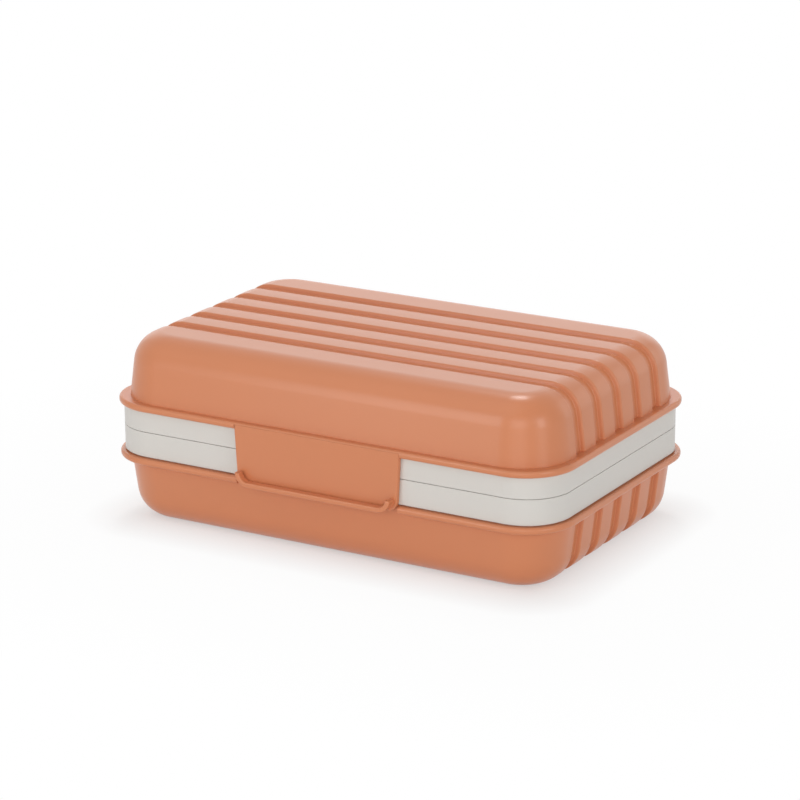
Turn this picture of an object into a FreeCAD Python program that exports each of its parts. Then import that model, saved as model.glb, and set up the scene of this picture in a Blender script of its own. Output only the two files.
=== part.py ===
import FreeCAD, Part
import math
import os

from FreeCAD import Vector

# Travel soap box: two grooved tubs, each with a pale liner band, hinged at the back and latched at the front.
# Millimetres. X runs along the box, Y from the latch to the hinge, Z up. The origin is on the ground,
# under the middle of the box.

# Rims: the flat flanges that carry the liners, the hinge and the latch
rim_length = 120.0
rim_depth = 76.0
rim_thick = 1.65
rim_corner_radius = 12.5
rim_edge_radius = 0.7

# Heights, from the ground up
box_height = 45.0
base_rim_height = 15.15
lower_band_height = 6.3
upper_band_height = 5.08
seam_gap = 0.12

# Tubs: drafted walls with a large round edge
tub_setback_x = 2.0
tub_setback_y = 1.8
tub_corner_radius = 12.5
tub_edge_radius = 7.5
tub_wall = 1.8
tub_draft_deg = 7.3

# Grooves over the tubs, from end to end, with round-backed ridges between them
groove_count = 5
groove_pitch = 9.6
groove_width = 1.55
groove_depth = 0.6
groove_lip_radius = 0.4
ridge_crown = 0.8
ridge_crest_width = 0.4
ridge_crest_rise = 0.01

# Liners: pale rings between the rims, with a spigot inside each tub
band_setback_x = 1.2
band_setback_front = 1.25
band_setback_back = 1.8
band_corner_radius = 11.0
band_edge_radius = 0.12
liner_wall = 1.4
liner_web = 2.2
liner_fit = 0.2
spigot_reach = 4.0
spigot_rib_gap = 0.4
reveal_height = 0.35
reveal_depth = 0.7

# Seal in the lid liner
seal_width = 1.6
seal_groove_depth = 1.2
seal_stand = 0.07
seal_side_fit = 0.05
seal_inset = 1.3

# Draining rack that carries the soap
rack_gap = 2.8
rack_thick = 1.8
rack_leg_height = 6.4
rack_leg_size = 4.0
rack_leg_inset = 5.4
rack_leg_gap = 0.3
rack_slot_width = 3.4
rack_slot_side_gap = 5.5
rack_slot_columns = 9
rack_slot_end_gap = 3.4
rack_slot_row_gap = 6.0
rack_rib_width = 1.6
rack_rib_height = 1.2
rack_rib_edge_radius = 0.5
rack_thumb_radius = 8.0

# Hinge at the back, at seam height
hinge_overhang = 0.3
hinge_spacing = 60.0
knuckle_radius = 1.9
lid_knuckle_width = 8.0
base_knuckle_width = 4.0
knuckle_gap = 0.25
hinge_pin_radius = 0.8
hinge_pin_edge_radius = 0.2
running_clearance = 0.05
ear_slope_share = 0.45

# Latch flap on the lid rim
flap_top_width = 43.8
flap_bottom_width = 42.4
flap_thick = 1.1
flap_hem = 0.3
flap_corner_radius = 2.5
flap_edge_radius = 0.3
latch_barrel_radius = 0.75
latch_pin_radius = 0.22
latch_pin_inset = 0.43
latch_pin_rise = 0.52
latch_pin_grip = 3.5
socket_gap = 0.04
flap_side_gap = 0.06
recess_side_gap = 0.3
recess_gap = 0.35
snap_bead_height = 0.25
snap_bead_width = 1.0
snap_bead_length = 24.0
lip_reach = 2.2
lip_thick = 1.2
lip_rise = 3.2
lip_inset = 0.5
lip_corner_radius = 3.4
lip_edge_radius = 0.35
lip_groove_width = 0.45
lip_groove_depth = 0.5

# How far a cutting body runs past what it cuts, and how near two places count as one
overrun = 2.0
touch = 0.005

# Levels and places worked out from the sizes above
base_rim_top = base_rim_height + rim_thick
base_seam = base_rim_top + lower_band_height
lid_seam = base_seam + seam_gap
lid_rim_bottom = lid_seam + upper_band_height
lid_rim_top = lid_rim_bottom + rim_thick
lid_height = box_height - lid_rim_top
hinge_z = (base_seam + lid_seam) / 2
hinge_y = rim_depth / 2 + hinge_overhang
latch_y = -rim_depth / 2 + latch_pin_inset
latch_z = lid_rim_bottom + latch_pin_rise
flap_bottom = base_rim_height + flap_hem
draft_slope = math.tan(math.radians(tub_draft_deg))
tub_half_length = rim_length / 2 - tub_setback_x
tub_half_depth = rim_depth / 2 - tub_setback_y
cavity_half_length = tub_half_length - tub_wall
cavity_half_depth = tub_half_depth - tub_wall
cavity_corner_radius = tub_corner_radius - tub_wall
groove_bottom = ridge_crown + groove_depth
groove_places = [(i - (groove_count - 1) / 2) * groove_pitch for i in range(groove_count)]


def polyline_face(points):
    return Part.Face(Part.makePolygon(points + points[:1]))


def direction(degrees):
    return Vector(math.cos(math.radians(degrees)), math.sin(math.radians(degrees)), 0)


def rounded_wire(half_length, front, back, radius, z):
    """Closed outline of a round-cornered rectangle at height z, front and back measured from the X axis."""
    edges = []
    corners = ((1, -front, -90), (1, back, 0), (-1, back, 90), (-1, -front, 180))
    ends = []
    for side, edge_y, start in corners:
        centre_y = edge_y + radius if edge_y < 0 else edge_y - radius
        centre = Vector(side * (half_length - radius), centre_y, z)
        arc = [centre + radius * direction(start + turn) for turn in (0, 45, 90)]
        ends.append((arc[0], arc[2]))
        edges.append(Part.Arc(*arc).toShape())
    for arc_ends, next_ends in zip(ends, ends[1:] + ends[:1]):
        if not arc_ends[1].isEqual(next_ends[0], touch):
            edges.append(Part.makeLine(arc_ends[1], next_ends[0]))
    return Part.Wire(Part.__sortEdges__(edges))


def prism(half_length, front, back, radius, low, high):
    """Upright block of a round-cornered outline between two heights."""
    face = Part.Face(rounded_wire(half_length, front, back, radius, low))
    return face.extrude(Vector(0, 0, high - low))


def drafted_block(half_length, half_depth, radius, height):
    """Block that narrows upwards at the tubs' draft, from z = 0."""
    inset = height * draft_slope
    foot = rounded_wire(half_length, half_depth, half_depth, radius, 0)
    crown = rounded_wire(half_length - inset, half_depth - inset, half_depth - inset, radius - inset, height)
    return Part.makeLoft([foot, crown], True, True)


def edges_at(shape, z):
    """Edges of a shape that lie flat at height z."""
    flat = []
    for edge in shape.Edges:
        box = edge.BoundBox
        if abs(box.ZMin - z) < touch and abs(box.ZMax - z) < touch:
            flat.append(edge)
    return flat


def dome(half_length, half_depth, radius, height, edge_radius):
    block = drafted_block(half_length, half_depth, radius, height)
    return block.makeFillet(edge_radius, edges_at(block, height))


def section_path(half_length, height, edge_radius, start):
    """The dome's outline along X, from one end wall over the top to the other, as a wire at y = 0.

    It starts on the end wall at height start. Returned with its first point, and with the
    wall's outward normal there."""
    draft = math.radians(tub_draft_deg)
    normal = Vector(-math.cos(draft), 0, math.sin(draft))
    centre_x = half_length - (edge_radius + math.sin(draft) * (height - edge_radius)) / math.cos(draft)
    centre = Vector(-centre_x, 0, height - edge_radius)
    middle = math.radians(135 - tub_draft_deg / 2)
    foot = Vector(-half_length + start * draft_slope, 0, start)
    left = [
        foot,
        centre + edge_radius * normal,
        centre + edge_radius * Vector(math.cos(middle), 0, math.sin(middle)),
        Vector(-centre_x, 0, height),
    ]
    right = [Vector(-point.x, 0, point.z) for point in reversed(left)]
    edges = [
        Part.makeLine(left[0], left[1]),
        Part.Arc(left[1], left[2], left[3]).toShape(),
        Part.makeLine(left[3], right[0]),
        Part.Arc(right[0], right[1], right[2]).toShape(),
        Part.makeLine(right[2], right[3]),
    ]
    return Part.Wire(edges), foot, normal


def on_arc(centre, radius, lean):
    """Point of a round back that leans towards the groove by an angle."""
    return (centre[0] - radius * math.sin(lean), centre[1] + radius * math.cos(lean))


def groove_section():
    """Half of the outer groove's section: the root's radius, then (across, out) points from crest to root."""
    half_chord = (groove_pitch - ridge_crest_width - groove_width) / 2
    fall = ridge_crown + ridge_crest_rise
    crown_radius = (half_chord ** 2 + fall ** 2) / (2 * fall)
    slope = math.asin(half_chord / crown_radius)
    crest = (groove_width / 2 + half_chord, ridge_crest_rise)
    crown_centre = (crest[0], crest[1] - crown_radius)
    lip_centre = (groove_width / 2 + groove_lip_radius * math.sin(slope),
                  -ridge_crown - groove_lip_radius * math.cos(slope))
    rise = lip_centre[1] + groove_bottom
    root_radius = (lip_centre[0] ** 2 + rise ** 2 - groove_lip_radius ** 2) / (2 * (rise + groove_lip_radius))
    steep = math.atan2(lip_centre[0], root_radius - rise)
    points = [
        crest,
        on_arc(crown_centre, crown_radius, slope / 2),
        on_arc(crown_centre, crown_radius, slope),
        on_arc(lip_centre, groove_lip_radius, (slope + steep) / 2),
        on_arc(lip_centre, groove_lip_radius, steep),
        (0, -groove_bottom),
    ]
    return root_radius, points


def groove_cutter(half_length, height, edge_radius):
    """Groove between two round-backed ridges, swept along the outside of a tub."""
    path, foot, normal = section_path(half_length, height, edge_radius, -overrun)

    def at(point, side=1):
        return foot + Vector(0, side * point[0], 0) + point[1] * normal

    crest, crown, lip, turn, bend, root = groove_section()[1]
    above = (crest[0], overrun)
    section = Part.Wire([
        Part.Arc(at(crest), at(crown), at(lip)).toShape(),
        Part.Arc(at(lip), at(turn), at(bend)).toShape(),
        Part.Arc(at(bend), at(root), at(bend, -1)).toShape(),
        Part.Arc(at(bend, -1), at(turn, -1), at(lip, -1)).toShape(),
        Part.Arc(at(lip, -1), at(crown, -1), at(crest, -1)).toShape(),
        Part.makeLine(at(crest, -1), at(above, -1)),
        Part.makeLine(at(above, -1), at(above)),
        Part.makeLine(at(above), at(crest)),
    ])
    return path.makePipeShell([section], True, False)


def rib_radius():
    """Round of the ribs inside a tub, one wall behind the grooves' roots."""
    return groove_section()[0] + tub_wall


def rib_cutter(half_length, height, edge_radius):
    """Round rib swept along the inside of a tub, behind a groove, so that the wall keeps its thickness."""
    path, foot, normal = section_path(half_length, height, edge_radius, -overrun)
    radius = rib_radius()
    half_width = math.sqrt(radius ** 2 - (radius - groove_bottom) ** 2)
    across = Vector(0, half_width, 0)
    section = Part.Wire([
        Part.Arc(foot + across, foot - groove_bottom * normal, foot - across).toShape(),
        Part.makeLine(foot - across, foot - across + overrun * normal),
        Part.makeLine(foot - across + overrun * normal, foot + across + overrun * normal),
        Part.makeLine(foot + across + overrun * normal, foot + across),
    ])
    return path.makePipeShell([section], True, False)


def along_grooves(cutter):
    copies = []
    for place in groove_places:
        copy = cutter.copy()
        copy.translate(Vector(0, place, 0))
        copies.append(copy)
    return copies


def rim_plate():
    half_depth = rim_depth / 2
    plate = prism(rim_length / 2, half_depth, half_depth, rim_corner_radius, 0, rim_thick)
    return plate.makeFillet(rim_edge_radius, edges_at(plate, 0) + edges_at(plate, rim_thick))


def cavity_dome(height, inset):
    """The plain inside of a tub of that height, drawn in by inset."""
    return dome(cavity_half_length - inset, cavity_half_depth - inset, cavity_corner_radius - inset,
                height - tub_wall - inset, tub_edge_radius - tub_wall - inset)


def cavity_mouth(inset, low, high):
    """The straight opening through a tub's rim, drawn in by inset."""
    return prism(cavity_half_length - inset, cavity_half_depth - inset, cavity_half_depth - inset,
                 cavity_corner_radius - inset, low, high)


def below(shape, height):
    """The part of a tub-shaped body that lies below a height."""
    slab = Part.makeBox(rim_length, rim_depth, height, Vector(-rim_length / 2, -rim_depth / 2, 0))
    return shape.common(slab)


def tub(height):
    """Tub with its mouth down: the rim from z = 0, the grooved dome above it."""
    outside = dome(tub_half_length, tub_half_depth, tub_corner_radius, height, tub_edge_radius)
    outside = outside.cut(along_grooves(groove_cutter(tub_half_length, height, tub_edge_radius)))
    plain = cavity_dome(height, 0)
    ribs = along_grooves(rib_cutter(cavity_half_length, height - tub_wall, tub_edge_radius - tub_wall))
    cavity = plain.cut(ribs).fuse(below(plain, spigot_reach + spigot_rib_gap))
    for part in (outside, cavity):
        part.translate(Vector(0, 0, rim_thick))
    return rim_plate().fuse(outside).cut([cavity_mouth(0, -overrun, rim_thick), cavity])


def hinge_ear(centre_x, width, drop):
    """Knuckle that reaches from a mouth-down tub's rim to the hinge axis, drop below the rim."""
    inner = hinge_y - knuckle_radius
    outer = hinge_y + knuckle_radius
    x = centre_x - width / 2
    points = [
        Vector(x, outer, -drop),
        Vector(x, outer, -drop * ear_slope_share),
        Vector(x, rim_depth / 2, rim_thick / 2),
        Vector(x, inner, rim_thick / 2),
        Vector(x, inner, -drop),
    ]
    edges = [Part.makeLine(a, b) for a, b in zip(points, points[1:])]
    edges.append(Part.Arc(points[-1], Vector(x, hinge_y, -drop - knuckle_radius), points[0]).toShape())
    return Part.Face(Part.Wire(edges)).extrude(Vector(width, 0, 0))


def hinge_bore(radius, z):
    return Part.makeCylinder(radius, rim_length, Vector(-rim_length / 2, hinge_y, z), Vector(1, 0, 0))


def hinge_centres():
    return (-hinge_spacing / 2, hinge_spacing / 2)


def base_shell():
    drop = hinge_z - base_rim_top
    shell = tub(base_rim_height)
    shift = (lid_knuckle_width + base_knuckle_width) / 2 + knuckle_gap
    ears = [hinge_ear(x + side * shift, base_knuckle_width, drop)
            for x in hinge_centres() for side in (-1, 1)]
    shell = shell.fuse(ears).cut([hinge_bore(hinge_pin_radius, -drop), latch_recess()])
    shell = shell.mirror(Vector(0, 0, 0), Vector(0, 0, 1))
    shell.translate(Vector(0, 0, base_rim_top))
    return shell.removeSplitter()


def latch_recess():
    """Notch in the front of a mouth-down base rim that the flap closes into."""
    half = flap_bottom_width / 2 + recess_side_gap
    depth = flap_thick + recess_gap
    return Part.makeBox(2 * half, depth + overrun, rim_thick + 2 * overrun,
                        Vector(-half, -rim_depth / 2 - overrun, -overrun))


def latch_socket():
    """Room in a mouth-down lid rim for the flap's barrel and the plate that hangs from it."""
    half = flap_top_width / 2 + flap_side_gap
    reach = latch_barrel_radius + socket_gap
    front_rise = math.sqrt(reach ** 2 - latch_pin_inset ** 2)
    round_part = Part.makeCylinder(reach, 2 * half, Vector(-half, latch_y, latch_pin_rise), Vector(1, 0, 0))
    front_part = Part.makeBox(2 * half, latch_pin_inset + overrun, latch_pin_rise + front_rise + overrun,
                              Vector(-half, -rim_depth / 2 - overrun, -overrun))
    plate_part = Part.makeBox(2 * half, reach, latch_pin_rise + overrun, Vector(-half, latch_y, -overrun))
    return [round_part, front_part, plate_part]


def latch_pin_length():
    return flap_top_width + 2 * latch_pin_grip


def lid_shell():
    drop = lid_rim_bottom - hinge_z
    shell = tub(lid_height)
    ears = [hinge_ear(x, lid_knuckle_width, drop) for x in hinge_centres()]
    pin_hole = Part.makeCylinder(latch_pin_radius, latch_pin_length(),
                                 Vector(-latch_pin_length() / 2, latch_y, latch_pin_rise), Vector(1, 0, 0))
    cuts = latch_socket() + [pin_hole, hinge_bore(hinge_pin_radius + running_clearance, -drop)]
    shell = shell.fuse(ears).cut(cuts)
    shell.translate(Vector(0, 0, lid_rim_bottom))
    return shell.removeSplitter()


def band_prism(inset, low, high):
    """The liners' outer band, drawn in by inset."""
    return prism(rim_length / 2 - band_setback_x - inset,
                 rim_depth / 2 - band_setback_front - inset,
                 rim_depth / 2 - band_setback_back - inset,
                 band_corner_radius - inset, low, high)


def spigot_block(height, inset, reach):
    """What fills a tub's mouth and its start, drawn in by inset, up to reach past the rim."""
    block = below(cavity_dome(height, inset), reach)
    block.translate(Vector(0, 0, rim_thick))
    return cavity_mouth(inset, 0, rim_thick).fuse(block)


def liner(height, band_height):
    """Liner for a mouth-down tub of that height: the band hangs below z = 0, the spigot stands in the tub."""
    band = band_prism(0, -band_height, 0)
    outer_edges = edges_at(band, -band_height)
    band = band.makeFillet(band_edge_radius, outer_edges)
    hollow = band_prism(liner_wall, liner_web - band_height, 0)
    bore_inset = liner_fit + liner_wall
    bore = cavity_mouth(bore_inset, -band_height - overrun, 0)
    column = cavity_mouth(liner_fit, -band_height, 0)
    ring = band.cut(hollow.cut(column))
    ring = ring.fuse(spigot_block(height, liner_fit, spigot_reach))
    return ring.cut([bore, spigot_block(height, bore_inset, spigot_reach + overrun)])


def base_liner():
    reveal = band_prism(-overrun, -reveal_height, 0).cut(band_prism(reveal_depth, -reveal_height, 0))
    ring = liner(base_rim_height, lower_band_height).cut(reveal)
    ring = ring.mirror(Vector(0, 0, 0), Vector(0, 0, 1))
    ring.translate(Vector(0, 0, base_rim_top))
    return ring.removeSplitter()


def seal_band(grow, low, high):
    """Ring along the middle of the lid liner's lower face, grown by grow on each side."""
    outer = band_prism(seal_inset - grow, low, high)
    return outer.cut(band_prism(seal_inset + seal_width + grow, low, high))


def lid_liner():
    ring = liner(lid_height, upper_band_height)
    ring.translate(Vector(0, 0, lid_rim_bottom))
    seat = seal_band(seal_side_fit, lid_seam - overrun, lid_seam + seal_groove_depth)
    return ring.cut(seat).removeSplitter()


def seal_ring():
    return seal_band(0, lid_seam - seal_stand, lid_seam + seal_groove_depth)


def slot(x, y, length):
    hole = prism(rack_slot_width / 2, length / 2, length / 2, rack_slot_width / 2,
                 tub_wall + rack_leg_height - overrun, tub_wall + rack_leg_height + rack_thick + overrun)
    hole.translate(Vector(x, y, 0))
    return hole


def spread(count, pitch):
    return [(i - (count - 1) / 2) * pitch for i in range(count)]


def rack_leg(x, y):
    """Leg that stands on the base floor, notched where it comes near the ribs there."""
    leg = Part.makeBox(rack_leg_size, rack_leg_size, rack_leg_height + rack_thick / 2,
                       Vector(x - rack_leg_size / 2, y - rack_leg_size / 2, tub_wall))
    rib_axis = tub_wall + groove_bottom - rib_radius()
    room = [Part.makeCylinder(rib_radius() + rack_leg_gap, rim_length,
                              Vector(-rim_length / 2, place, rib_axis), Vector(1, 0, 0)) for place in groove_places]
    return leg.cut(room)


def soap_rack():
    """Slotted plate on legs that stand between the ribs on the base floor, with ribs under the soap."""
    narrowing = spigot_reach * draft_slope
    inset = liner_fit + liner_wall + narrowing + rack_gap
    half_length = cavity_half_length - inset
    half_depth = cavity_half_depth - inset
    low = tub_wall + rack_leg_height
    high = low + rack_thick
    plate = prism(half_length, half_depth, half_depth, cavity_corner_radius - inset, low, high)
    slot_length = half_depth - rack_slot_row_gap / 2 - rack_slot_side_gap
    row_y = (slot_length + rack_slot_row_gap) / 2
    outer_slot = half_length - rack_thumb_radius - rack_slot_end_gap - rack_slot_width / 2
    slot_pitch = 2 * outer_slot / (rack_slot_columns - 1)
    rib_places = spread(rack_slot_columns - 1, slot_pitch)
    holes = [slot(x, y, slot_length) for x in spread(rack_slot_columns, slot_pitch) for y in (-row_y, row_y)]
    for side in (-1, 1):
        holes.append(Part.makeCylinder(rack_thumb_radius, rack_thick + 2 * overrun,
                                       Vector(side * half_length, 0, low - overrun)))
    rib_half = slot_length + rack_slot_row_gap / 2
    ribs = []
    for x in rib_places:
        rib = Part.makeBox(rack_rib_width, 2 * rib_half, rack_thick + rack_rib_height,
                           Vector(x - rack_rib_width / 2, -rib_half, low))
        top_edges = edges_at(rib, high + rack_rib_height)
        ribs.append(rib.makeFillet(rack_rib_edge_radius, top_edges))
    leg_y = half_depth - rack_leg_inset
    legs = [rack_leg(x, y) for x in (rib_places[0], rib_places[-1]) for y in (-leg_y, leg_y)]
    return plate.cut(holes).fuse(ribs + legs).removeSplitter()


def flap_section():
    """Flap seen from its end: a barrel round the latch axis with the plate hanging from it."""
    radius = latch_barrel_radius
    front = -rim_depth / 2
    back = front + flap_thick
    meet = -math.sqrt(radius ** 2 - (back - latch_y) ** 2)
    x = -flap_top_width / 2
    start = Vector(x, front, latch_z + math.sqrt(radius ** 2 - latch_pin_inset ** 2))
    far = Vector(x, latch_y + radius, latch_z)
    joint = Vector(x, back, latch_z + meet)
    low_turn = math.atan2(meet, back - latch_y) / 2
    below = Vector(x, latch_y + radius * math.cos(low_turn), latch_z + radius * math.sin(low_turn))
    edges = [
        Part.Arc(start, Vector(x, latch_y, latch_z + radius), far).toShape(),
        Part.Arc(far, below, joint).toShape(),
        Part.makeLine(joint, Vector(x, back, flap_bottom)),
        Part.makeLine(Vector(x, back, flap_bottom), Vector(x, front, flap_bottom)),
        Part.makeLine(Vector(x, front, flap_bottom), start),
    ]
    return Part.Face(Part.Wire(edges)).extrude(Vector(flap_top_width, 0, 0))


def flap_outline():
    """Flap seen from the front: slightly narrower at the bottom, with round lower corners."""
    top = latch_z + rim_thick
    front = -rim_depth / 2 - overrun
    points = [
        Vector(-flap_top_width / 2, front, top),
        Vector(-flap_top_width / 2, front, lid_rim_bottom),
        Vector(-flap_bottom_width / 2, front, flap_bottom),
        Vector(flap_bottom_width / 2, front, flap_bottom),
        Vector(flap_top_width / 2, front, lid_rim_bottom),
        Vector(flap_top_width / 2, front, top),
    ]
    block = polyline_face(points).extrude(Vector(0, rim_depth / 2, 0))
    lower = []
    for edge in block.Edges:
        box = edge.BoundBox
        if abs(box.ZMax - flap_bottom) < touch and box.YLength > overrun:
            lower.append(edge)
    return block.makeFillet(flap_corner_radius, lower)


def finger_lip():
    """Thin shelf along the flap's lower edge, with both ends turned up and a groove along the flap's face."""
    half = flap_bottom_width / 2 - lip_inset
    low = flap_bottom
    high = low + lip_rise
    face = -rim_depth / 2

    def upright(margin, front, back):
        block = prism(half - margin, high + overrun - low - margin, overrun, lip_corner_radius - margin,
                      0, back - front)
        block.rotate(Vector(0, 0, 0), Vector(1, 0, 0), 90)
        block.translate(Vector(0, back, high + overrun))
        return block

    root = face + flap_thick / 2
    shelf = upright(0, face - lip_reach, root).cut(upright(lip_thick, face - lip_reach, root))
    shelf = shelf.common(Part.makeBox(2 * half, root - face + lip_reach, lip_rise,
                                      Vector(-half, face - lip_reach, low)))
    front = []
    for edge in shelf.Edges:
        box = edge.BoundBox
        if abs(box.YMax - (face - lip_reach)) < touch:
            front.append(edge)
    shelf = shelf.makeFillet(lip_edge_radius, front)
    return shelf.cut(upright(lip_thick - lip_groove_depth, face - lip_groove_width, face))


def snap_bead():
    """Low round bead inside the flap that bears on the base rim."""
    radius = ((snap_bead_width / 2) ** 2 + snap_bead_height ** 2) / (2 * snap_bead_height)
    back = -rim_depth / 2 + flap_thick
    bead = Part.makeCylinder(radius, snap_bead_length,
                             Vector(-snap_bead_length / 2, back + snap_bead_height - radius,
                                    base_rim_height + rim_thick / 2), Vector(1, 0, 0))
    keep = Part.makeBox(snap_bead_length, flap_thick / 2 + snap_bead_height, snap_bead_width,
                        Vector(-snap_bead_length / 2, back - flap_thick / 2,
                               base_rim_height + rim_thick / 2 - snap_bead_width / 2))
    return bead.common(keep)


def flap_plate():
    """The flap's plate and barrel, with its front edges at the sides rounded."""
    plate = flap_section().common(flap_outline())
    front = -rim_depth / 2
    sides = []
    for edge in plate.Edges:
        box = edge.BoundBox
        if max(abs(box.YMin - front), abs(box.YMax - front)) < touch and box.ZLength > flap_corner_radius:
            sides.append(edge)
    return plate.makeFillet(flap_edge_radius, sides)


def latch_flap():
    flap = flap_plate()
    bore = Part.makeCylinder(latch_pin_radius + running_clearance, flap_top_width + 2 * overrun,
                             Vector(-flap_top_width / 2 - overrun, latch_y, latch_z), Vector(1, 0, 0))
    return flap.fuse([finger_lip(), snap_bead()]).cut(bore).removeSplitter()


def latch_pin():
    length = latch_pin_length()
    return Part.makeCylinder(latch_pin_radius, length, Vector(-length / 2, latch_y, latch_z), Vector(1, 0, 0))


def hinge_pin(centre_x):
    length = lid_knuckle_width + 2 * (base_knuckle_width + knuckle_gap)
    pin = Part.makeCylinder(hinge_pin_radius, length, Vector(centre_x - length / 2, hinge_y, hinge_z),
                            Vector(1, 0, 0))
    ends = [edge for edge in pin.Edges if edge.BoundBox.XLength < touch]
    return pin.makeFillet(hinge_pin_edge_radius, ends)


def main():
    left, right = hinge_centres()
    pieces = {
        "base_shell": base_shell(),
        "base_liner": base_liner(),
        "soap_rack": soap_rack(),
        "lid_shell": lid_shell(),
        "lid_liner": lid_liner(),
        "seal_ring": seal_ring(),
        "latch_flap": latch_flap(),
        "latch_pin": latch_pin(),
        "hinge_pin_left": hinge_pin(left),
        "hinge_pin_right": hinge_pin(right),
    }
    os.makedirs("parts", exist_ok=True)
    for name, shape in pieces.items():
        solids = shape.Solids
        print(name, "valid", shape.isValid(), "solids", len(solids), "faces", len(shape.Faces),
              "volume", round(shape.Volume, 1))
        whole = solids[0] if len(solids) == 1 else Part.makeCompound(solids)
        whole.exportStep("parts/" + name + ".step")


main()
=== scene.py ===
import math

import bmesh
import bpy
from bpy.props import FloatProperty, FloatVectorProperty, IntProperty, PointerProperty
from mathutils import Matrix, Vector


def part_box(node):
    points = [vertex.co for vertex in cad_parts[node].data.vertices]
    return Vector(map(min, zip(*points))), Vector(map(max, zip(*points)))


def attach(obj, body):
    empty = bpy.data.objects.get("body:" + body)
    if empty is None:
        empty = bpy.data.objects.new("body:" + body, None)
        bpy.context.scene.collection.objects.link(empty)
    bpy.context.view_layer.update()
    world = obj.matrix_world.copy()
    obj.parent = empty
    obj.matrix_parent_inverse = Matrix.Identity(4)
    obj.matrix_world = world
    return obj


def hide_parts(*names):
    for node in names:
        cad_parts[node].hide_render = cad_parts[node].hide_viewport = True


bl_info = {
    "name": "Travel Soap Box",
    "version": (1, 0, 0),
    "blender": (4, 5, 0),
    "location": "View3D > Sidebar > Soap Box",
    "description": "Grooved tubs and finishes of a travel soap box, and the studio that shows it",
    "category": "Object",
}

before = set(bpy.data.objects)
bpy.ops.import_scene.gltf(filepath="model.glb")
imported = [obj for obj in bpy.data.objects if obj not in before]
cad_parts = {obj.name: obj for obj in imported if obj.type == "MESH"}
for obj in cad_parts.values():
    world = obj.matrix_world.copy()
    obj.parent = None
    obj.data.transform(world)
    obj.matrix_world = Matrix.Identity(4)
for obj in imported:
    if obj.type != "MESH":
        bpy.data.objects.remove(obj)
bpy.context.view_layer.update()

# Steps along the round parts of a tub's outside
ROOT_STEPS = 6
LIP_STEPS = 8
CROWN_STEPS = 5
EDGE_STEPS = 16
CORNER_STEPS = 12

# Digits of a metre that tell mesh points apart
PLACE_DIGITS = 8

# Metres by which the strips at a tub's foot stand over the rim's face
STRIP_LIFT = 0.000003

# Metres by which a CAD vertex may be outside the plain tub
FIT_SLACK = 0.00003

# Floor's grey under the light
FLOOR_GREY = 0.9

# Metres in from the base's sides where the floor's clearing starts
FOOT_INSET = 0.010

# How white the floor is kept there and at the shadow's reach
CLEAR_AT_FOOT = 0.46
CLEAR_AT_REACH = 0.95

# Shadow reaches at which the floor is all white
FAR_REACHES = 5

# Lights: width and height in metres, azimuth and elevation in degrees, distance in metres
LIGHTS = {
    "top": (0.20, 0.20, -151, 64, 1.0),
    "back": (1.60, 0.90, -150, 17, 1.5),
    "left": (0.11, 0.29, -22.5, 14, 0.5),
    "front": (0.70, 0.70, 22, 14, 1.2),
    "right": (0.30, 0.70, 71, 14, 1.2),
    "overhead": (0.80, 0.80, -20, 60, 1.0),
    "end": (0.50, 0.70, 149, 14, 1.2),
}

# Millimetres, like the focal length
SENSOR_WIDTH = 36.0


# Settings

class SoapBoxFinish(bpy.types.PropertyGroup):
    """Colours and surface of the moulded pieces"""

    shell_colour: FloatVectorProperty(
        name="Shell", description="Terracotta plastic of the two tubs and the latch flap",
        subtype="COLOR", size=3, min=0, max=1, default=(0.655, 0.232, 0.102))
    liner_colour: FloatVectorProperty(
        name="Liner", description="Pale warm grey plastic of the two liner rings",
        subtype="COLOR", size=3, min=0, max=1, default=(0.690, 0.667, 0.625))
    rack_colour: FloatVectorProperty(
        name="Rack", description="Pale plastic of the draining rack",
        subtype="COLOR", size=3, min=0, max=1, default=(0.690, 0.667, 0.630))
    seal_colour: FloatVectorProperty(
        name="Seal", description="Milky silicone of the lid seal",
        subtype="COLOR", size=3, min=0, max=1, default=(0.560, 0.550, 0.530))
    pin_colour: FloatVectorProperty(
        name="Pins", description="Drawn stainless wire of the hinge and latch pins",
        subtype="COLOR", size=3, min=0, max=1, default=(0.620, 0.610, 0.600))
    shell_roughness: FloatProperty(
        name="Shell roughness", description="Satin of the terracotta plastic",
        subtype="FACTOR", min=0, max=1, default=0.30)
    liner_roughness: FloatProperty(
        name="Liner roughness", description="Satin of the pale plastic",
        subtype="FACTOR", min=0, max=1, default=0.42)
    seal_roughness: FloatProperty(
        name="Seal roughness", description="Dull skin of the silicone",
        subtype="FACTOR", min=0, max=1, default=0.55)
    grain_size: FloatProperty(
        name="Grain size", description="Size of the fine grain that the mould leaves on the plastic",
        unit="LENGTH", min=0.0001, max=0.002, default=0.00035, precision=5)
    grain_depth: FloatProperty(
        name="Grain depth", description="Height of the mould grain",
        unit="LENGTH", min=0, max=0.0001, default=0.000004, precision=6)


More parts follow.
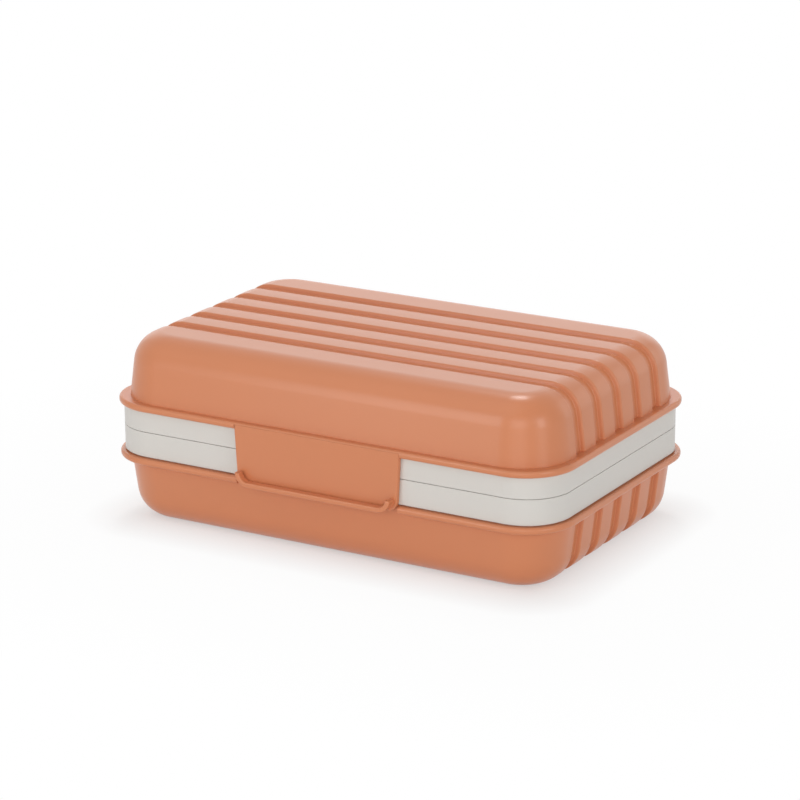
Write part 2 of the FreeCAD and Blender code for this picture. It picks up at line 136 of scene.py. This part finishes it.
class SoapBoxTub(bpy.types.PropertyGroup):
    """Outside of the two tubs, without their grooves"""

    half_length: FloatProperty(
        name="Half length", description="From the middle to the foot of an end wall",
        unit="LENGTH", default=0.058, precision=4)
    half_depth: FloatProperty(
        name="Half depth", description="From the middle to the foot of the front wall",
        unit="LENGTH", default=0.0362, precision=4)
    corner_radius: FloatProperty(
        name="Corner radius", description="Radius of the upright corners at the foot",
        unit="LENGTH", default=0.0125, precision=4)
    edge_radius: FloatProperty(
        name="Edge radius", description="Radius of the round edge between the walls and the flat",
        unit="LENGTH", default=0.0075, precision=4)
    draft: FloatProperty(
        name="Draft", description="Lean of the walls",
        subtype="ANGLE", default=math.radians(7.3))
    lid_foot: FloatProperty(
        name="Lid foot", description="Height of the lid rim's upper face",
        unit="LENGTH", default=0.02995, precision=5)
    base_foot: FloatProperty(
        name="Base foot", description="Height of the base rim's lower face",
        unit="LENGTH", default=0.01515, precision=5)
    skin: FloatProperty(
        name="Skin", description="How deep the solid's own grooves reach under the outside",
        unit="LENGTH", default=0.0016, precision=4)
    sink: FloatProperty(
        name="Sink", description="How far a tub's foot runs on into its rim",
        unit="LENGTH", default=0.0003, precision=4)


class SoapBoxGrooves(bpy.types.PropertyGroup):
    """Flat-floored grooves that run over the tubs from end to end"""

    count: IntProperty(
        name="Grooves", description="Number of grooves on each tub", min=2, default=5)
    pitch: FloatProperty(
        name="Pitch", description="From groove to groove",
        unit="LENGTH", default=0.0096, precision=4)
    depth: FloatProperty(
        name="Depth", description="Depth under the middle of a ridge",
        unit="LENGTH", default=0.00105, precision=4)
    ridge_width: FloatProperty(
        name="Ridge width", description="Width of a ridge between its lips",
        unit="LENGTH", default=0.0049, precision=4)
    ridge_crown: FloatProperty(
        name="Ridge crown", description="Height of the slight crown on a ridge",
        unit="LENGTH", min=0.000001, default=0.00003, precision=5)
    lip_radius: FloatProperty(
        name="Lip radius", description="Round edge of a ridge",
        unit="LENGTH", default=0.0005, precision=4)
    root_radius: FloatProperty(
        name="Root radius", description="Round corner of a groove's floor",
        unit="LENGTH", default=0.0003, precision=4)
    wall_angle: FloatProperty(
        name="Wall angle", description="Steepness of a groove's walls",
        subtype="ANGLE", default=math.radians(72))


class SoapBoxStage(bpy.types.PropertyGroup):
    """Camera, floor and light"""

    camera_azimuth: FloatProperty(
        name="Azimuth", description="Turn of the camera round the box, from the latch side",
        subtype="ANGLE", default=math.radians(30.482))
    camera_elevation: FloatProperty(
        name="Elevation", description="Height angle of the camera",
        subtype="ANGLE", default=math.radians(17.395))
    camera_roll: FloatProperty(
        name="Roll", description="Tilt of the picture",
        subtype="ANGLE", default=math.radians(-0.382))
    camera_aim: FloatVectorProperty(
        name="Aim", description="Point in the middle of the picture",
        subtype="XYZ", unit="LENGTH", size=3, default=(-0.00291, 0.00504, 0.02653))
    camera_distance: FloatProperty(
        name="Distance", description="From the aim to the camera",
        unit="LENGTH", default=0.75)
    camera_lens: FloatProperty(
        name="Lens", description="Focal length in millimetres for a 36 mm sensor",
        default=141.67)
    floor_size: FloatProperty(
        name="Floor", description="Side of the floor",
        unit="LENGTH", default=8.0)
    shadow_reach: FloatProperty(
        name="Shadow reach", description="How far the contact shadow runs out over the floor",
        unit="LENGTH", min=0.001, default=0.018)
    sky_level: FloatProperty(
        name="Sky", description="Even light from all round",
        min=0, default=0.36)
    top_power: FloatProperty(
        name="Top light", description="Power of the soft light above and behind",
        unit="POWER", min=0, default=2.2)
    back_power: FloatProperty(
        name="Back light", description="Power of the wide, low light behind the box",
        unit="POWER", min=0, default=2.3)
    left_power: FloatProperty(
        name="Left light", description="Power of the narrow, near light to the left of the camera",
        unit="POWER", min=0, default=0.36)
    front_power: FloatProperty(
        name="Front light", description="Power of the broad light beside the camera",
        unit="POWER", min=0, default=2.9)
    right_power: FloatProperty(
        name="Right light", description="Power of the tall light to the right of the camera",
        unit="POWER", min=0, default=2.6)
    overhead_power: FloatProperty(
        name="Overhead light", description="Power of the wide light over the front edge",
        unit="POWER", min=0, default=1.0)
    end_power: FloatProperty(
        name="End light", description="Power of the light that the right end mirrors",
        unit="POWER", min=0, default=0.7)


# Node helpers

def add(tree, kind, name, **values):
    """One node with its settings and input values, keyed by socket name or by number."""
    node = tree.nodes.new(kind)
    node.name = node.label = name
    inputs = values.pop("inputs", {})
    for key, value in values.items():
        setattr(node, key, value)
    for key, value in inputs.items():
        node.inputs[key].default_value = value
    return node


def join(tree, source, target):
    tree.links.new(source, target)


def new_group(name, inputs, outputs):
    """Empty shader node group; inputs are (name, type, default), outputs are (name, type)."""
    tree = bpy.data.node_groups.new(name, "ShaderNodeTree")
    for label, kind, default in inputs:
        socket = tree.interface.new_socket(label, in_out="INPUT", socket_type=kind)
        if default is not None:
            socket.default_value = default
    for label, kind in outputs:
        tree.interface.new_socket(label, in_out="OUTPUT", socket_type=kind)
    return tree, add(tree, "NodeGroupInput", "In"), add(tree, "NodeGroupOutput", "Out")


def use_group(tree, group, **inputs):
    node = add(tree, "ShaderNodeGroup", group.name, node_tree=group)
    for key, value in inputs.items():
        node.inputs[key.replace("_", " ").capitalize()].default_value = value
    return node


def mould_grain():
    """Fine grain that a spark-finished mould leaves: a height for the bump and a drift for the roughness."""
    name = "Mould grain"
    if name in bpy.data.node_groups:
        return bpy.data.node_groups[name]
    tree, into, out = new_group(
        name,
        [("Size", "NodeSocketFloat", 0.0004), ("Roughness", "NodeSocketFloat", 0.4),
         ("Drift", "NodeSocketFloat", 0.05)],
        [("Height", "NodeSocketFloat"), ("Roughness", "NodeSocketFloat")])
    place = add(tree, "ShaderNodeTexCoord", "Place")
    scale = add(tree, "ShaderNodeMath", "Per metre", operation="DIVIDE", inputs={0: 1.0})
    join(tree, into.outputs["Size"], scale.inputs[1])
    fine = add(tree, "ShaderNodeTexNoise", "Fine grain", inputs={"Detail": 2.0, "Roughness": 0.55})
    join(tree, place.outputs["Object"], fine.inputs["Vector"])
    join(tree, scale.outputs[0], fine.inputs["Scale"])
    pits = add(tree, "ShaderNodeTexVoronoi", "Grain cells", feature="SMOOTH_F1", inputs={"Smoothness": 0.6})
    join(tree, place.outputs["Object"], pits.inputs["Vector"])
    join(tree, scale.outputs[0], pits.inputs["Scale"])
    height = add(tree, "ShaderNodeMath", "Grain height", operation="ADD")
    join(tree, fine.outputs["Fac"], height.inputs[0])
    join(tree, pits.outputs["Distance"], height.inputs[1])
    join(tree, height.outputs[0], out.inputs["Height"])
    slow = add(tree, "ShaderNodeTexNoise", "Flow patches", inputs={"Scale": 55.0, "Detail": 3.0})
    join(tree, place.outputs["Object"], slow.inputs["Vector"])
    swing = add(tree, "ShaderNodeMath", "About zero", operation="SUBTRACT", inputs={1: 0.5})
    join(tree, slow.outputs["Fac"], swing.inputs[0])
    amount = add(tree, "ShaderNodeMath", "Drift amount", operation="MULTIPLY")
    join(tree, swing.outputs[0], amount.inputs[0])
    join(tree, into.outputs["Drift"], amount.inputs[1])
    total = add(tree, "ShaderNodeMath", "Satin", operation="ADD")
    join(tree, into.outputs["Roughness"], total.inputs[0])
    join(tree, amount.outputs[0], total.inputs[1])
    join(tree, total.outputs[0], out.inputs["Roughness"])
    return tree


def tone_drift():
    """Slow change of tone that pigment shows after moulding."""
    name = "Tone drift"
    if name in bpy.data.node_groups:
        return bpy.data.node_groups[name]
    tree, into, out = new_group(
        name,
        [("Colour", "NodeSocketColor", None), ("Amount", "NodeSocketFloat", 0.04),
         ("Patches", "NodeSocketFloat", 30.0)],
        [("Colour", "NodeSocketColor")])
    place = add(tree, "ShaderNodeTexCoord", "Place")
    clouds = add(tree, "ShaderNodeTexNoise", "Pigment clouds", inputs={"Detail": 4.0, "Roughness": 0.6})
    join(tree, place.outputs["Object"], clouds.inputs["Vector"])
    join(tree, into.outputs["Patches"], clouds.inputs["Scale"])
    swing = add(tree, "ShaderNodeMath", "About zero", operation="SUBTRACT", inputs={1: 0.5})
    join(tree, clouds.outputs["Fac"], swing.inputs[0])
    level = add(tree, "ShaderNodeMath", "Tone level", operation="MULTIPLY_ADD", inputs={2: 1.0})
    join(tree, swing.outputs[0], level.inputs[0])
    join(tree, into.outputs["Amount"], level.inputs[1])
    shift = add(tree, "ShaderNodeHueSaturation", "Shift")
    join(tree, into.outputs["Colour"], shift.inputs["Color"])
    join(tree, level.outputs[0], shift.inputs["Value"])
    join(tree, shift.outputs["Color"], out.inputs["Colour"])
    return tree


def moulded_plastic(name, colour, roughness, finish, tone=0.05, specular=0.5):
    """Satin moulded plastic with mould grain and a slight drift of tone."""
    material = bpy.data.materials.new(name)
    material.use_nodes = True
    tree = material.node_tree
    tree.nodes.clear()
    shader = add(tree, "ShaderNodeBsdfPrincipled", "Plastic",
                 inputs={"IOR": 1.49, "Specular IOR Level": specular})
    output = add(tree, "ShaderNodeOutputMaterial", "Surface")
    join(tree, shader.outputs[0], output.inputs["Surface"])
    drift = use_group(tree, tone_drift(), colour=(*colour, 1.0), amount=tone)
    join(tree, drift.outputs["Colour"], shader.inputs["Base Color"])
    grain = use_group(tree, mould_grain(), size=finish.grain_size, roughness=roughness)
    join(tree, grain.outputs["Roughness"], shader.inputs["Roughness"])
    bump = add(tree, "ShaderNodeBump", "Grain bump",
               inputs={"Strength": 1.0, "Distance": finish.grain_depth})
    join(tree, grain.outputs["Height"], bump.inputs["Height"])
    join(tree, bump.outputs["Normal"], shader.inputs["Normal"])
    return material


def dress(node, material):
    """Puts a material in the slots of a CAD node."""
    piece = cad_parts[node]
    for slot in piece.material_slots:
        slot.material = material


# Tub shapes

def steps(start, end, count):
    """Evenly spaced values from start to end."""
    return [start + (end - start) * i / count for i in range(count + 1)]


def half_groove(grooves, crowned):
    """One side of a groove, as (across, out, lean): from the floor's middle up to the ridge's middle.

    The side without a crown is the outermost, and ends where the plain tub starts."""
    lip, root, wall = grooves.lip_radius, grooves.root_radius, grooves.wall_angle
    half_ridge = grooves.ridge_width / 2
    crown_radius = (half_ridge ** 2 + grooves.ridge_crown ** 2) / (2 * grooves.ridge_crown)
    edge_lean = math.asin(half_ridge / crown_radius)

    def run(lean, drop):
        straight = drop - lip * (math.cos(lean) - math.cos(wall)) - root * (1 - math.cos(wall))
        return lip * (math.sin(wall) - math.sin(lean)) + straight / math.tan(wall) + root * math.sin(wall)

    middle = grooves.pitch / 2
    edge = (middle - half_ridge, -grooves.ridge_crown)
    floor = edge[0] - run(edge_lean, grooves.depth - grooves.ridge_crown)
    if not crowned:
        edge_lean = 0.0
        edge = (floor + run(0.0, grooves.depth), 0.0)
    points = [(0.0, -grooves.depth, 0.0)]
    for lean in steps(0.0, wall, ROOT_STEPS):
        points.append((floor + root * math.sin(lean), root * (1 - math.cos(lean)) - grooves.depth, lean))
    for lean in steps(wall, edge_lean, LIP_STEPS):
        points.append((edge[0] + lip * (math.sin(edge_lean) - math.sin(lean)),
                       edge[1] + lip * (math.cos(lean) - math.cos(edge_lean)), lean))
    if crowned:
        for lean in steps(edge_lean, 0.0, CROWN_STEPS)[1:]:
            across = middle - crown_radius * math.sin(lean)
            points.append((across, crown_radius * (math.cos(lean) - 1), lean))
    else:
        points.append(((edge[0] + middle) / 2, 0.0, 0.0))
    return points


def groove_profile(grooves):
    """All the grooves across a tub, as (y, out, lean)."""
    profile = []
    for i in range(grooves.count):
        y = (i - (grooves.count - 1) / 2) * grooves.pitch
        left_side = half_groove(grooves, i > 0)
        right_side = half_groove(grooves, i < grooves.count - 1)
        left = [(y - across, out, -lean) for across, out, lean in left_side]
        right = [(y + across, out, lean) for across, out, lean in right_side]
        profile += left[::-1] if i == 0 else left[-2::-1]
        profile += right[1:]
    return profile


def end_profile(tub, height):
    """An end wall and its round edge, from the foot up, as (x, z, lean of the normal above the level)."""
    radius, draft = tub.edge_radius, tub.draft
    centre = tub.half_length - (radius + math.sin(draft) * (height - radius)) / math.cos(draft)
    points = [(tub.half_length + tub.sink * math.tan(draft), -tub.sink, draft)]
    for lean in steps(draft, math.pi / 2, EDGE_STEPS):
        points.append((centre + radius * math.cos(lean), height - radius + radius * math.sin(lean), lean))
    return points


def stand_off(tub, height, x, y, z):
    """How far a point is outside the plain tub; z is measured from the foot towards the flat."""
    across = (abs(x) - tub.half_length + tub.corner_radius, abs(y) - tub.half_depth + tub.corner_radius)
    reach = math.hypot(max(across[0], 0.0), max(across[1], 0.0)) + min(max(across), 0.0)
    radius, draft = tub.edge_radius, tub.draft
    centre = tub.corner_radius - (radius + math.sin(draft) * (height - radius)) / math.cos(draft)
    lean = math.atan2(z - height + radius, reach - centre)
    if lean > math.pi / 2:
        return z - height
    if lean < draft:
        return (reach - tub.corner_radius) * math.cos(draft) + z * math.sin(draft)
    return math.hypot(reach - centre, z - height + radius) - radius


class Skin:
    """Vertices, faces and normals of a mesh that is put together piece by piece."""

    def __init__(self):
        self.points, self.normals, self.faces, self.corners = [], [], [], []
        self.known = {}

    def point(self, place, normal):
        key = tuple(round(value, PLACE_DIGITS) for value in place)
        if key not in self.known:
            self.known[key] = len(self.points)
            self.points.append(Vector(place))
            self.normals.append(Vector(normal))
        return self.known[key]

    def face(self, indices):
        """Face whose corners take the points' normals, turned to that side."""
        indices = [k for i, k in enumerate(indices) if k != indices[i - 1]]
        a, b, c = (self.points[k] for k in (indices[0], indices[1], indices[-1]))
        if (b - a).cross(c - a).dot(self.normals[indices[0]]) < 0:
            indices.reverse()
        self.faces.append(indices)
        self.corners += [self.normals[k] for k in indices]

    def sheet(self, rows):
        for low, high in zip(rows, rows[1:]):
            for i in range(len(low) - 1):
                self.face([low[i], low[i + 1], high[i + 1], high[i]])

    def take(self, mesh, dropped):
        """The faces of another mesh with their own normals, apart from the dropped ones."""
        start = len(self.points)
        self.points += [vertex.co.copy() for vertex in mesh.vertices]
        self.normals += [Vector()] * len(mesh.vertices)
        for face in mesh.polygons:
            if not dropped([mesh.vertices[k].co for k in face.vertices]):
                self.faces.append([start + k for k in face.vertices])
                self.corners += [mesh.corner_normals[k].vector.copy() for k in face.loop_indices]

    def finish(self, name):
        used = sorted({k for face in self.faces for k in face})
        place = {k: i for i, k in enumerate(used)}
        mesh = bpy.data.meshes.new(name)
        points = [self.points[k] for k in used]
        faces = [[place[k] for k in face] for face in self.faces]
        mesh.from_pydata(points, [], faces)
        mesh.shade_smooth()
        mesh.normals_split_custom_set(self.corners)
        return mesh


def grooved_shell(name, node, foot, up, height, tub, grooves):
    """A tub with flat-floored grooves on the rim, inside and knuckles of a CAD node.

    up is 1 for the lid, and -1 for the base, whose flat faces down."""
    skin = Skin()

    def put(x, y, z, normal):
        return skin.point((x, y, foot + up * z), (normal[0], normal[1], up * normal[2]))

    end = end_profile(tub, height)
    path = [(x, z, math.cos(lean), math.sin(lean)) for x, z, lean in end]
    path += [(-x, z, -out, rise) for x, z, out, rise in reversed(path)]
    profile = groove_profile(grooves)
    skin.sheet([[put(x + out * depth, y, z + rise * depth,
                     (out * math.cos(lean), -math.sin(lean), rise * math.cos(lean)))
                 for y, depth, lean in profile] for x, z, out, rise in path])
    corner = (tub.half_length - tub.corner_radius, tub.half_depth - tub.corner_radius)
    edge = profile[-1][0]
    turns = steps(0.0, math.pi / 2, CORNER_STEPS)
    for side in (-1, 1):
        rows = []
        for x, z, lean in end:
            radius = x - corner[0]
            out, rise = math.cos(lean), math.sin(lean)
            row = [put(x, side * edge, z, (out, 0.0, rise))]
            for hand, angles in ((1, turns), (-1, turns[::-1])):
                for turn in angles:
                    across, along = hand * math.cos(turn), side * math.sin(turn)
                    row.append(put(hand * corner[0] + radius * across, side * corner[1] + radius * along, z,
                                   (out * across, out * along, rise)))
            row.append(put(-x, side * edge, z, (-out, 0.0, rise)))
            rows.append(row)
        skin.sheet(rows)
        skin.face(rows[-1])
    for hand in (-1, 1):
        inner, outer = hand * (tub.half_length - tub.skin), hand * tub.half_length
        skin.face([put(x, y, STRIP_LIFT, (0.0, 0.0, 1.0))
                   for x, y in ((inner, -edge), (outer, -edge), (outer, edge), (inner, edge))])

    def outside(corners):
        """True for a face of the CAD node's own grooved outside, which the new one replaces."""
        heights = [up * (point.z - foot) for point in corners]
        if max(heights) < STRIP_LIFT or min(heights) < -STRIP_LIFT:
            return False
        return all(-tub.skin < stand_off(tub, height, point.x, point.y, z) < FIT_SLACK
                   for point, z in zip(corners, heights))

    skin.take(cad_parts[node].data, outside)
    piece = bpy.data.objects.new(name, skin.finish(name))
    bpy.context.scene.collection.objects.link(piece)
    return piece


# Operators

class SOAPBOX_OT_shells(bpy.types.Operator):
    """Grooved tubs in place of the CAD shells, and terracotta plastic on them and on the latch flap"""

    bl_idname = "soapbox.shells"
    bl_label = "Build the tubs and finish the latch flap"

    def execute(self, context):
        finish = context.scene.soapbox_finish
        plastic = moulded_plastic("terracotta_plastic", finish.shell_colour, finish.shell_roughness, finish)
        tub, grooves = context.scene.soapbox_tub, context.scene.soapbox_grooves
        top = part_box("lid_shell")[1][2]
        lid = grooved_shell("lid_tub", "lid_shell", tub.lid_foot, 1, top - tub.lid_foot, tub, grooves)
        base = grooved_shell("base_tub", "base_shell", tub.base_foot, -1, tub.base_foot, tub, grooves)
        for piece, body, node in ((lid, "lid", "lid_shell"), (base, "base", "base_shell")):
            piece.data.materials.append(plastic)
            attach(piece, body)
            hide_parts(node)
        dress("latch_flap", plastic)
        return {"FINISHED"}


class SOAPBOX_OT_liners(bpy.types.Operator):
    """Pale plastic on the two liner rings"""

    bl_idname = "soapbox.liners"
    bl_label = "Finish the liner rings"

    def execute(self, context):
        finish = context.scene.soapbox_finish
        plastic = moulded_plastic("pale_liner_plastic", finish.liner_colour, finish.liner_roughness, finish,
                                  tone=0.03)
        for node in ("base_liner", "lid_liner"):
            dress(node, plastic)
        return {"FINISHED"}


class SOAPBOX_OT_rack(bpy.types.Operator):
    """Pale plastic on the draining rack"""

    bl_idname = "soapbox.rack"
    bl_label = "Finish the draining rack"

    def execute(self, context):
        finish = context.scene.soapbox_finish
        plastic = moulded_plastic("rack_plastic", finish.rack_colour, finish.liner_roughness, finish,
                                  tone=0.04)
        dress("soap_rack", plastic)
        return {"FINISHED"}


class SOAPBOX_OT_seal(bpy.types.Operator):
    """Milky silicone on the lid seal"""

    bl_idname = "soapbox.seal"
    bl_label = "Finish the lid seal"

    def execute(self, context):
        finish = context.scene.soapbox_finish
        silicone = moulded_plastic("seal_silicone", finish.seal_colour, finish.seal_roughness, finish,
                                   tone=0.04, specular=0.4)
        dress("seal_ring", silicone)
        return {"FINISHED"}


class SOAPBOX_OT_pins(bpy.types.Operator):
    """Drawn stainless wire on the hinge and latch pins"""

    bl_idname = "soapbox.pins"
    bl_label = "Finish the pins"

    def execute(self, context):
        finish = context.scene.soapbox_finish
        material = bpy.data.materials.new("drawn_steel")
        material.use_nodes = True
        tree = material.node_tree
        shader = tree.nodes["Principled BSDF"]
        shader.inputs["Metallic"].default_value = 1.0
        place = add(tree, "ShaderNodeTexCoord", "Place")
        stretch = add(tree, "ShaderNodeMapping", "Along the wire", inputs={"Scale": (40.0, 4000.0, 4000.0)})
        join(tree, place.outputs["Object"], stretch.inputs["Vector"])
        lines = add(tree, "ShaderNodeTexNoise", "Draw lines", inputs={"Scale": 1.0, "Detail": 3.0})
        join(tree, stretch.outputs["Vector"], lines.inputs["Vector"])
        satin = add(tree, "ShaderNodeMapRange", "Satin", inputs={"To Min": 0.25, "To Max": 0.45})
        join(tree, lines.outputs["Fac"], satin.inputs["Value"])
        join(tree, satin.outputs[0], shader.inputs["Roughness"])
        drift = use_group(tree, tone_drift(), colour=(*finish.pin_colour, 1.0), amount=0.1, patches=400.0)
        join(tree, drift.outputs["Colour"], shader.inputs["Base Color"])
        for node in ("hinge_pin_left", "hinge_pin_right", "latch_pin"):
            dress(node, material)
        return {"FINISHED"}


def heading(azimuth, elevation):
    """Direction from the box, by the turn from the latch side and the height angle, in radians."""
    return Vector((math.sin(azimuth) * math.cos(elevation),
                   -math.cos(azimuth) * math.cos(elevation), math.sin(elevation)))


def soft_light(name, power, aim, width, height, azimuth, elevation, distance):
    """Rectangular soft light that faces the box, from a direction in degrees."""
    lamp = bpy.data.lights.new(name, "AREA")
    lamp.shape = "RECTANGLE"
    lamp.size, lamp.size_y = width, height
    lamp.energy = power
    back = heading(math.radians(azimuth), math.radians(elevation))
    item = bpy.data.objects.new(name, lamp)
    item.location = aim + back * distance
    item.rotation_euler = back.to_track_quat("Z", "Y").to_euler()
    item.visible_camera = False
    bpy.context.scene.collection.objects.link(item)


def seen_directly(tree):
    """1 for camera, glossy and transmission rays."""
    path = add(tree, "ShaderNodeLightPath", "Ray")
    first = add(tree, "ShaderNodeMath", "Camera or glossy", operation="MAXIMUM")
    join(tree, path.outputs["Is Camera Ray"], first.inputs[0])
    join(tree, path.outputs["Is Glossy Ray"], first.inputs[1])
    both = add(tree, "ShaderNodeMath", "Or transmission", operation="MAXIMUM")
    join(tree, first.outputs[0], both.inputs[0])
    join(tree, path.outputs["Is Transmission Ray"], both.inputs[1])
    return both.outputs[0]


class SOAPBOX_OT_stage(bpy.types.Operator):
    """White floor, soft light all round and the camera"""

    bl_idname = "soapbox.stage"
    bl_label = "Set up the stage"

    def execute(self, context):
        stage = context.scene.soapbox_stage
        self.sky(context, stage)
        self.floor(context, stage)
        aim = Vector(stage.camera_aim)
        for name, layout in LIGHTS.items():
            soft_light(name + "_light", getattr(stage, name + "_power"), aim, *layout)
        self.camera(context, stage)
        context.scene.view_settings.view_transform = "Standard"
        return {"FINISHED"}

    def sky(self, context, stage):
        world = bpy.data.worlds.new("soft_white_sky")
        context.scene.world = world
        world.use_nodes = True
        tree = world.node_tree
        background = tree.nodes["Background"]
        background.inputs["Color"].default_value = (1.0, 1.0, 1.0, 1.0)
        level = add(tree, "ShaderNodeMapRange", "Level", inputs={"To Min": stage.sky_level, "To Max": 1.0})
        join(tree, seen_directly(tree), level.inputs["Value"])
        join(tree, level.outputs[0], background.inputs["Strength"])

    def floor(self, context, stage):
        mesh = bpy.data.meshes.new("floor")
        shape = bmesh.new()
        bmesh.ops.create_grid(shape, x_segments=1, y_segments=1, size=stage.floor_size / 2)
        shape.to_mesh(mesh)
        shape.free()
        floor = bpy.data.objects.new("floor", mesh)
        context.scene.collection.objects.link(floor)
        material = bpy.data.materials.new("white_floor")
        material.use_nodes = True
        tree = material.node_tree
        tree.nodes.clear()
        matt = add(tree, "ShaderNodeBsdfDiffuse", "Matt white",
                   inputs={"Color": (FLOOR_GREY, FLOOR_GREY, FLOOR_GREY, 1.0)})
        white = add(tree, "ShaderNodeEmission", "White", inputs={"Strength": 1.0})
        mix = add(tree, "ShaderNodeMixShader", "Lifted shadow")
        output = add(tree, "ShaderNodeOutputMaterial", "Surface")
        lift = add(tree, "ShaderNodeMath", "Lift", operation="MULTIPLY")
        join(tree, seen_directly(tree), lift.inputs[0])
        join(tree, self.clearing(tree, stage), lift.inputs[1])
        join(tree, lift.outputs[0], mix.inputs[0])
        join(tree, matt.outputs[0], mix.inputs[1])
        join(tree, white.outputs[0], mix.inputs[2])
        join(tree, mix.outputs[0], output.inputs["Surface"])
        mesh.materials.append(material)

    def clearing(self, tree, stage):
        """How white the floor is kept: least under the box's foot, all white well away from it."""
        low, high = (Vector(corner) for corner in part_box("base_shell"))
        foot = (high - low) / 2 - Vector((FOOT_INSET, FOOT_INSET, 0.0))
        place = add(tree, "ShaderNodeTexCoord", "Place")
        spread = add(tree, "ShaderNodeVectorMath", "Off the middle", operation="ABSOLUTE")
        join(tree, place.outputs["Object"], spread.inputs[0])
        past = add(tree, "ShaderNodeVectorMath", "Past the foot", operation="SUBTRACT",
                   inputs={1: (foot.x, foot.y, 0.0)})
        join(tree, spread.outputs[0], past.inputs[0])
        outside = add(tree, "ShaderNodeVectorMath", "Outside only", operation="MAXIMUM",
                      inputs={1: (0.0, 0.0, 0.0)})
        join(tree, past.outputs[0], outside.inputs[0])
        far = add(tree, "ShaderNodeVectorMath", "Distance", operation="LENGTH")
        join(tree, outside.outputs[0], far.inputs[0])
        near = add(tree, "ShaderNodeMapRange", "Contact shadow",
                   inputs={"From Max": stage.shadow_reach, "To Min": CLEAR_AT_FOOT,
                           "To Max": CLEAR_AT_REACH})
        join(tree, far.outputs["Value"], near.inputs["Value"])
        rest = add(tree, "ShaderNodeMapRange", "Far shadow",
                   inputs={"From Min": stage.shadow_reach, "From Max": FAR_REACHES * stage.shadow_reach,
                           "To Max": 1.0 - CLEAR_AT_REACH})
        join(tree, far.outputs["Value"], rest.inputs["Value"])
        total = add(tree, "ShaderNodeMath", "Clearing", operation="ADD")
        join(tree, near.outputs[0], total.inputs[0])
        join(tree, rest.outputs[0], total.inputs[1])
        return total.outputs[0]

    def camera(self, context, stage):
        azimuth, elevation, roll = stage.camera_azimuth, stage.camera_elevation, stage.camera_roll
        back = heading(azimuth, elevation)
        level = Vector((math.cos(azimuth), math.sin(azimuth), 0.0))
        upright = back.cross(level)
        across = math.cos(roll) * level + math.sin(roll) * upright
        upward = math.cos(roll) * upright - math.sin(roll) * level
        place = Matrix((across, upward, back)).transposed().to_4x4()
        place.translation = Vector(stage.camera_aim) + back * stage.camera_distance
        lens = bpy.data.cameras.new("camera")
        lens.lens = stage.camera_lens
        lens.sensor_width = SENSOR_WIDTH
        lens.clip_start, lens.clip_end = 0.05, 20.0
        camera = bpy.data.objects.new("camera", lens)
        camera.matrix_world = place
        context.scene.collection.objects.link(camera)
        context.scene.camera = camera


class SOAPBOX_PT_panel(bpy.types.Panel):
    """Buttons and settings of the soap box"""

    bl_idname = "SOAPBOX_PT_panel"
    bl_label = "Soap Box"
    bl_space_type = "VIEW_3D"
    bl_region_type = "UI"
    bl_category = "Soap Box"

    def draw(self, context):
        scene = context.scene
        for operator in OPERATORS:
            self.layout.operator(operator.bl_idname)
        for group in SETTINGS:
            settings = getattr(scene, group)
            box = self.layout.box()
            for key in settings.__annotations__:
                box.prop(settings, key)


OPERATORS = (SOAPBOX_OT_shells, SOAPBOX_OT_liners, SOAPBOX_OT_rack, SOAPBOX_OT_seal, SOAPBOX_OT_pins,
             SOAPBOX_OT_stage)
SETTINGS = {"soapbox_finish": SoapBoxFinish, "soapbox_tub": SoapBoxTub, "soapbox_grooves": SoapBoxGrooves,
            "soapbox_stage": SoapBoxStage}


def register():
    for item in (*SETTINGS.values(), *OPERATORS, SOAPBOX_PT_panel):
        bpy.utils.register_class(item)
    for key, group in SETTINGS.items():
        setattr(bpy.types.Scene, key, PointerProperty(type=group))


def unregister():
    for key in SETTINGS:
        delattr(bpy.types.Scene, key)
    for item in reversed((*SETTINGS.values(), *OPERATORS, SOAPBOX_PT_panel)):
        bpy.utils.unregister_class(item)


def main():
    register()
    bpy.ops.soapbox.shells()
    bpy.ops.soapbox.liners()
    bpy.ops.soapbox.rack()
    bpy.ops.soapbox.seal()
    bpy.ops.soapbox.pins()
    bpy.ops.soapbox.stage()


if __name__ == "__main__":
    main()
